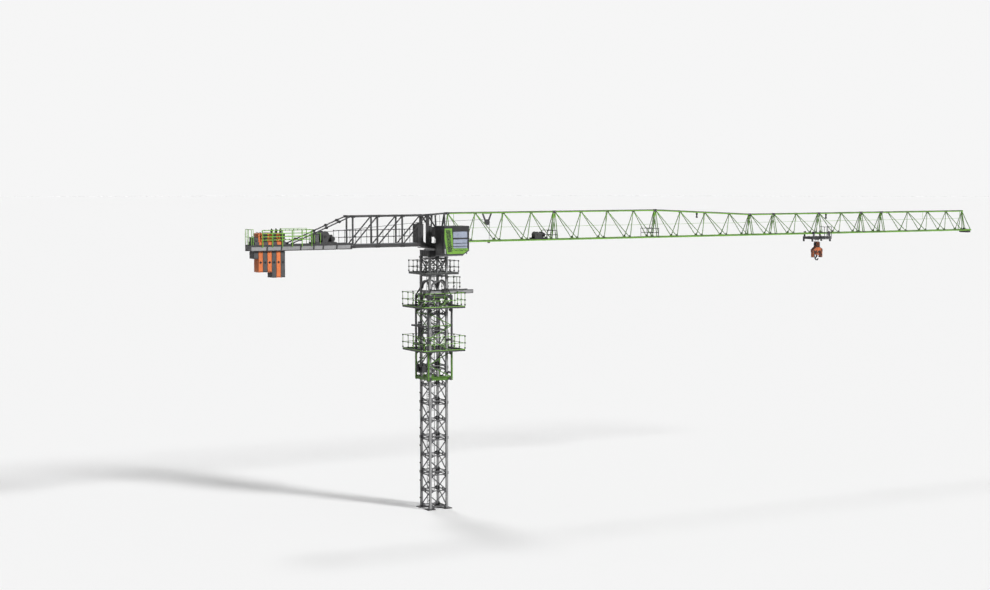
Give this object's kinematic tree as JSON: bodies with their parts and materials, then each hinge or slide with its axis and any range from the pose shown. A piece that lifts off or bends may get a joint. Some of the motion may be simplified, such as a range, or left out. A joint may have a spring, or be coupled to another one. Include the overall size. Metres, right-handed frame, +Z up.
{
  "type": "half-scale model of a flat-top tower crane",
  "caption": "Half-scale flat-top tower crane: lattice mast in a climbing cage, slewing jib with trolley and hook, counter-jib with hanging ballast.",
  "frame": {"origin": "centre of the underside of the base frame, on the axis of the mast, which is also the slewing axis", "axes": "+X along the jib towards its tip at rest, +Z up, +Y to the far side from the cab"},
  "size_m": [36.24, 2.265, 11.72],
  "materials": {
    "mast_grey": "satin light grey paint",
    "cage_green": "satin green paint",
    "jib_green": "satin lime green paint",
    "dark_grey": "satin dark grey paint",
    "galvanised": "dull galvanised steel",
    "bright_steel": "ground steel",
    "concrete_grey": "matt grey painted ballast",
    "ballast_orange": "matt orange painted ballast",
    "hook_orange": "satin orange paint",
    "hook_steel": "dark forged steel",
    "wire_rope": "greased wire rope",
    "window_glass": "pale blue tinted glass"
  },
  "bodies": {
    "tower": {"base_frame": "dark_grey", "mast_section_1": "mast_grey", "mast_section_2": "mast_grey", "mast_section_3": "mast_grey", "mast_section_4": "mast_grey", "mast_section_5": "mast_grey", "mast_section_6": "mast_grey", "mast_ladder": "galvanised", "cage_left_side": "cage_green", "cage_right_side": "cage_green", "cage_rear_side": "cage_green", "cage_bottom_frame": "cage_green", "cage_head": "dark_grey", "cage_lower_platform": "cage_green", "cage_upper_platform": "cage_green", "climbing_cylinder": "dark_grey", "hydraulic_power_pack": "dark_grey", "introduction_rails": "dark_grey", "introduction_platform": "dark_grey", "support_section": "mast_grey", "support_platform": "galvanised", "slew_box": "dark_grey", "slew_ring_fixed": "bright_steel"},
    "climbing_yoke": {"climbing_yoke": "dark_grey"},
    "upper_works": {"cab_glass": "window_glass", "cab_shell": "dark_grey", "counter_front_deck": "dark_grey", "counter_railings": "jib_green", "counter_rear_frame": "dark_grey", "counter_truss_left": "dark_grey", "counter_truss_right": "dark_grey", "counterweights_grey": "concrete_grey", "counterweights_orange": "ballast_orange", "electric_cabinets": "dark_grey", "hoist_winch": "dark_grey", "jib_section_1": "jib_green", "jib_section_2": "jib_green", "jib_section_3": "jib_green", "jib_section_4": "jib_green", "jib_section_5": "jib_green", "jib_section_6": "jib_green", "jib_section_7": "jib_green", "jib_section_8": "jib_green", "rope_guide": "dark_grey", "sign_frame": "jib_green", "slew_motors": "dark_grey", "slew_ring_moving": "bright_steel", "tie_bars": "dark_grey", "tip_box": "dark_grey", "tower_head": "dark_grey", "trolley_rails": "jib_green", "trolley_winch": "dark_grey", "turntable": "dark_grey"},
    "hoist_drum": {"hoist_drum": "dark_grey"},
    "trolley": {"trolley_frame": "dark_grey", "trolley_basket": "dark_grey"},
    "hook_block": {"hook_block": "hook_orange", "hoist_ropes": "wire_rope"},
    "hook": {"hook": "hook_steel"}
  },
  "joints": [
    {"name": "slew", "type": "hinge", "parent": "tower", "child": "upper_works", "pos_m": [0, 0, 10.29], "axis": [0, 0, 1], "continuous": true},
    {"name": "trolley_travel", "type": "slide", "parent": "upper_works", "child": "trolley", "axis": [1, 0, 0], "range_m": [-17.3, 7.9]},
    {"name": "hook_hoist", "type": "slide", "parent": "trolley", "child": "hook_block", "axis": [0, 0, 1], "range_m": [-8.7, 0], "deforming": ["hoist_ropes"]},
    {"name": "hook_swivel", "type": "hinge", "parent": "hook_block", "child": "hook", "pos_m": [19.35, 0, 9.63], "axis": [0, 0, 1], "continuous": true},
    {"name": "drum_turn", "type": "hinge", "parent": "upper_works", "child": "hoist_drum", "pos_m": [-4.775, 0, 10.87], "axis": [0, 1, 0], "continuous": true},
    {"name": "yoke_stroke", "type": "slide", "parent": "tower", "child": "climbing_yoke", "axis": [0, 0, 1], "range_m": [-0.5, 0]}
  ],
  "couplings": [
    {"joint": "drum_turn", "follows": "hook_hoist", "rad_per_m": -26.667}
  ]
}
